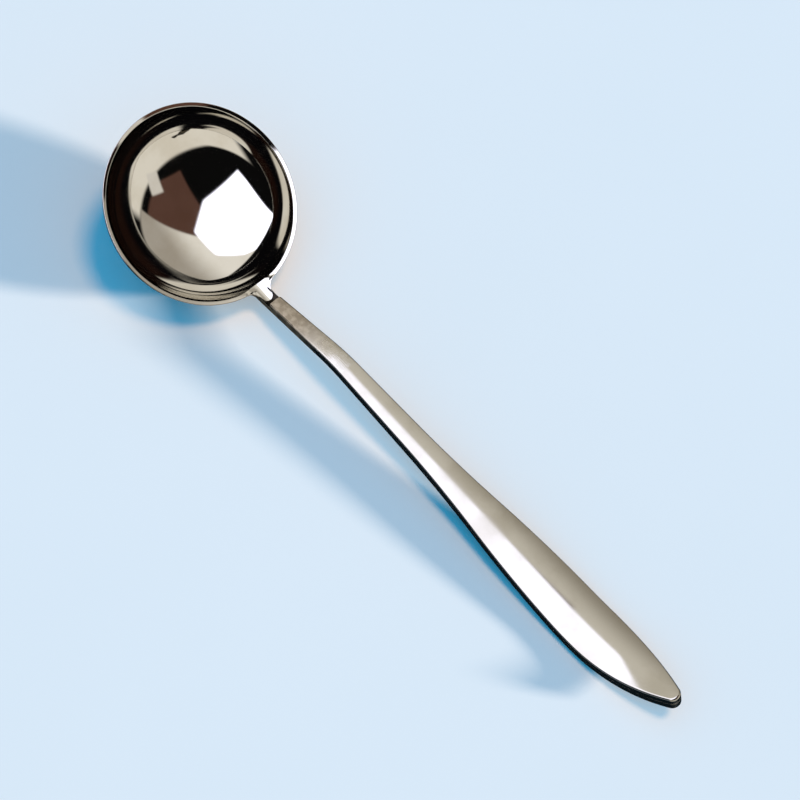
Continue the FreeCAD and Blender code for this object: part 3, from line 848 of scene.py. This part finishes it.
def make_ladle():
    buffing = buffing_group()
    bowl_steel = polished_steel("polished_bowl_steel", buffing, BOWL_POLISH)
    handle_steel = polished_steel("polished_handle_steel", buffing, HANDLE_POLISH)
    neck_steel = satin_neck_steel(buffing)
    seam_steel = ground_weld_steel(buffing)
    finish_piece(make_bowl(bowl_steel), "bowl", bowl_steel)
    upper = make_shell("ladle_handle_top", UPPER_RULES, MOUTH_X)
    finish_piece(upper, "handle_upper_shell", handle_steel)
    lower = make_shell("ladle_handle_underside", LOWER_RULES, MOUTH_X)
    finish_piece(lower, "handle_lower_shell", handle_steel)
    seam = make_shell("ladle_handle_seam", SEAM_RULES, MOUTH_X)
    finish_piece(seam, "seam_weld", seam_steel)
    finish_piece(make_neck(), "neck_shank", neck_steel)
    all_round = LOWER_RULES[::-1] + UPPER_RULES
    ring = make_shell("ladle_mouth_weld", all_round, MOUTH_X - WELD_GAP, MOUTH_X)
    finish_piece(ring, "mouth_weld", handle_steel)
    collar = smooth_copy("ladle_bowl_weld", "bowl_weld")
    finish_piece(collar, "bowl_weld", seam_steel)


# The camera and the table: places in metres, the lens and its sensor in millimetres.
CAMERA_EYE = Vector((0.14896, -0.30540, 0.67985))
CAMERA_AIM = Vector((-0.00890, 0.01313, 0.0))
CAMERA_ROLL = math.radians(21.107)
CAMERA_LENS = 88.12
SENSOR_WIDTH = 36.0
TABLE_HALF = 3.0
TABLE_TINTS = ((0.72, 0.81, 0.90, 1), (0.76, 0.84, 0.93, 1))
TABLE_ROUGHNESS = 0.9
PAPER_SCALE = 6.0


def make_camera():
    data = bpy.data.cameras.new("camera")
    data.lens = CAMERA_LENS
    data.sensor_width = SENSOR_WIDTH
    camera = new_object("camera", data)
    look = (CAMERA_AIM - CAMERA_EYE).normalized()
    level = look.cross(Vector((0, 0, 1))).normalized()
    upright = level.cross(look)
    right = math.cos(CAMERA_ROLL) * level + math.sin(CAMERA_ROLL) * upright
    up = math.cos(CAMERA_ROLL) * upright - math.sin(CAMERA_ROLL) * level
    turn = Matrix((right, up, -look)).transposed()
    camera.matrix_world = Matrix.Translation(CAMERA_EYE) @ turn.to_4x4()
    bpy.context.scene.camera = camera


def make_table():
    """A pale blue paper table, slightly uneven. What steel mirrors of it is drawn with the surroundings."""
    corners = [(x * TABLE_HALF, y * TABLE_HALF, 0) for x, y in ((-1, -1), (1, -1), (1, 1), (-1, 1))]
    mesh = bpy.data.meshes.new("table")
    mesh.from_pydata(corners, [], [(0, 1, 2, 3)])
    table = new_object("table", mesh)
    material = bpy.data.materials.new("pale_paper")
    material.use_nodes = True
    wiring = Wiring(material.node_tree)
    shader = material.node_tree.nodes["Principled BSDF"]
    shader.inputs["Roughness"].default_value = TABLE_ROUGHNESS
    shader.inputs["Specular IOR Level"].default_value = 0.0
    cloud = wiring.noise(wiring.coordinates(), PAPER_SCALE, detail=3.0, roughness=0.5)
    wiring.feed(shader.inputs["Base Color"], wiring.blend(cloud, *TABLE_TINTS))
    mesh.materials.append(material)
    table.visible_glossy = False


# Lights: a direction by its angle from +x and its angle down from straight up, and the spread, in degrees.
Light = namedtuple("Light", "azimuth off_zenith spread strength colour")
HIGH_LIGHT = Light(70, 10, 16.0, 1.42, (1.0, 0.51, 0.21))
LOW_LIGHT = Light(37, 76, 7.0, 5.8, (1.0, 0.77, 0.59))


def add_soft_light(name, light):
    """A far, soft light that the steel doesn't mirror."""
    azimuth, off = math.radians(light.azimuth), math.radians(light.off_zenith)
    flat = math.sin(off)
    towards = Vector((flat * math.cos(azimuth), flat * math.sin(azimuth), math.cos(off)))
    data = bpy.data.lights.new(name, "SUN")
    data.angle = math.radians(light.spread)
    data.energy = light.strength
    data.color = light.colour
    lamp = new_object(name, data)
    lamp.matrix_world = towards.to_track_quat("Z", "Y").to_matrix().to_4x4()
    lamp.visible_glossy = False
    lamp.visible_camera = False


# What the steel mirrors, as a map in degrees off straight up, along +x (east) and along +y (north).
# An edge of a shape there has a bearing, how far out it lies that way and, if not crisp, its softness.
CRISP = 1.5
PANEL_EDGES = ((0, 26), (180, 47), (270, 47), (36.4, 19), (136, 30), (90, 22))
WALL_EDGES = ((180, 47), (-45, -14))
CARD_EDGES = ((0, 60), (180, 6), (90, 58), (270, -2))
WINDOW_EDGES = ((0, 69), (180, -50), (90, 42), (270, -28))
BAND_EDGES = ((145, 10, 6), (-110, 60, 6))
STAND_EDGES = ((0, -2, 4), (90, -3, 3), (270, 21, 3))
SHELF_EDGES = ((90, -12, 2), (270, 24, 2))
LIT_EDGE = (11, 8, 3)
WARM_EDGE = (270, 0, 20)

# How far down shapes reach, each with its softness, and where the wall and the far table get darker.
WALL_FOOT = (74, 2)
CARD_FOOT = (66, 2)
BAND_FOOT = (112, 8)
HORIZON = (94, 3)
WALL_FADE = (24, 54)
TABLE_FADE = (96, 122)

# The colours of the surroundings, as light.
STUDIO_BLACK = (0.004, 0.004, 0.004, 1)
PANEL_WHITE = (2.1, 2.12, 2.5, 1)
WALL_SHADES = ((0.93, 0.89, 0.81, 1), (0.44, 0.40, 0.34, 1))
CARD_BROWN = (0.11, 0.055, 0.04, 1)
WINDOW_PALE = (0.75, 0.71, 0.64, 1)
BAND_PALE = (0.85, 0.80, 0.70, 1)
TABLE_SHADES = ((0.52, 0.63, 0.75, 1), (0.006, 0.012, 0.018, 1))
DARK_SHADES = ((0.003, 0.003, 0.004, 1), (0.016, 0.007, 0.005, 1))
LIT_WHITE = (1.0, 0.96, 0.88, 1)
SHADOW_FILL = (0.035, 0.417, 0.675, 1)
BEHIND_TABLE = tone(214, 230, 246)

# The fill gets weaker towards the north, and a ray that bounced more often than this sees a map of its own.
FILL_LESS_NORTH = -0.6
ONE_BOUNCE = 1.5


class SkyMap:
    """The map of the surroundings, with masks for the shapes on it."""

    def __init__(self, wiring):
        self.wiring = wiring
        direction = wiring.coordinates("Generated")
        height = wiring.dot(direction, (0, 0, 1))
        self.side = wiring.dot(direction, (0, 1, 0))
        square = wiring.math("MULTIPLY", height, height)
        flat = wiring.math("SQRT", wiring.math("MAXIMUM", wiring.math("SUBTRACT", 1.0, square), TINY))
        self.off = wiring.math("DEGREES", wiring.math("ARCCOSINE", height))
        stretch = wiring.math("DIVIDE", self.off, flat)
        self.east = wiring.math("MULTIPLY", wiring.dot(direction, (1, 0, 0)), stretch)
        self.north = wiring.math("MULTIPLY", self.side, stretch)

    def inside(self, bearing, limit, soft=CRISP):
        """What lies short of a straight edge, square to a bearing, across the map."""
        east = self.wiring.math("MULTIPLY", self.east, math.cos(math.radians(bearing)))
        along = self.wiring.math("MULTIPLY_ADD", self.north, math.sin(math.radians(bearing)), east)
        return self.wiring.ramp(along, limit + soft, limit - soft)

    def above(self, off, soft):
        """What lies nearer to straight up than an angle."""
        return self.wiring.ramp(self.off, off + soft, off - soft)

    def below(self, off, soft):
        return self.outside(self.above(off, soft))

    def outside(self, mask):
        return self.wiring.math("SUBTRACT", 1.0, mask)

    def shape(self, edges, *masks):
        """What lies inside all of some edges and masks."""
        first, *others = [self.inside(*edge) for edge in edges] + list(masks)
        for mask in others:
            first = self.wiring.math("MULTIPLY", first, mask)
        return first


def mirrored_once(wiring, sky):
    """What steel mirrors at once: a panel, a wall, a card, a window, a low band and a far table."""
    table_shade = wiring.blend(wiring.ramp(sky.off, *TABLE_FADE), *TABLE_SHADES)
    wall_shade = wiring.blend(wiring.ramp(sky.north, *WALL_FADE), *WALL_SHADES)
    layers = (
        (sky.below(*HORIZON), table_shade),
        (sky.shape(BAND_EDGES, sky.below(*WALL_FOOT), sky.above(*BAND_FOOT)), BAND_PALE),
        (sky.shape(CARD_EDGES, sky.above(*CARD_FOOT)), CARD_BROWN),
        (sky.shape(WINDOW_EDGES), WINDOW_PALE),
        (sky.shape(WALL_EDGES, sky.above(*WALL_FOOT)), wall_shade),
        (sky.shape(PANEL_EDGES), PANEL_WHITE),
    )
    colour = STUDIO_BLACK
    for mask, shade in layers:
        colour = wiring.blend(mask, colour, shade)
    return colour


def mirrored_again(wiring, sky):
    """What steel mirrors after more than one bounce: the studio's lit half, with a dark stand in it."""
    in_the_way = wiring.math("MAXIMUM", sky.shape(STAND_EDGES), sky.shape(SHELF_EDGES))
    lit = sky.shape([LIT_EDGE], sky.outside(in_the_way))
    dark = wiring.blend(sky.inside(*WARM_EDGE), *DARK_SHADES)
    return wiring.blend(lit, dark, LIT_WHITE)


def make_surroundings():
    """What the steel mirrors, what fills the shadows and what the camera sees behind the table."""
    world = bpy.data.worlds.new("studio")
    bpy.context.scene.world = world
    world.use_nodes = True
    world.cycles.sampling_method = "NONE"
    world.node_tree.nodes.clear()
    wiring = Wiring(world.node_tree)
    sky = SkyMap(wiring)
    path = wiring.node("ShaderNodeLightPath").outputs
    again = wiring.math("GREATER_THAN", path["Glossy Depth"], ONE_BOUNCE)
    studio = wiring.blend(again, mirrored_once(wiring, sky), mirrored_again(wiring, sky))
    strength = wiring.rise(sky.side, 1.0, FILL_LESS_NORTH)
    mirrored = wiring.node("ShaderNodeBackground", {"Color": studio})
    fill = wiring.node("ShaderNodeBackground", {"Color": SHADOW_FILL, "Strength": strength})
    seen = wiring.node("ShaderNodeBackground", {"Color": BEHIND_TABLE})
    lighting = wiring.node("ShaderNodeMixShader", {
        0: path["Is Glossy Ray"], 1: fill.outputs[0], 2: mirrored.outputs[0]})
    surface = wiring.node("ShaderNodeMixShader", {
        0: path["Is Camera Ray"], 1: lighting.outputs[0], 2: seen.outputs[0]})
    wiring.node("ShaderNodeOutputWorld", {"Surface": surface.outputs[0]})


make_camera()
make_table()
make_surroundings()
add_soft_light("high_light", HIGH_LIGHT)
add_soft_light("low_light", LOW_LIGHT)
make_ladle()

scene = bpy.context.scene
scene.view_settings.view_transform = "Standard"
scene.cycles.use_denoising = True
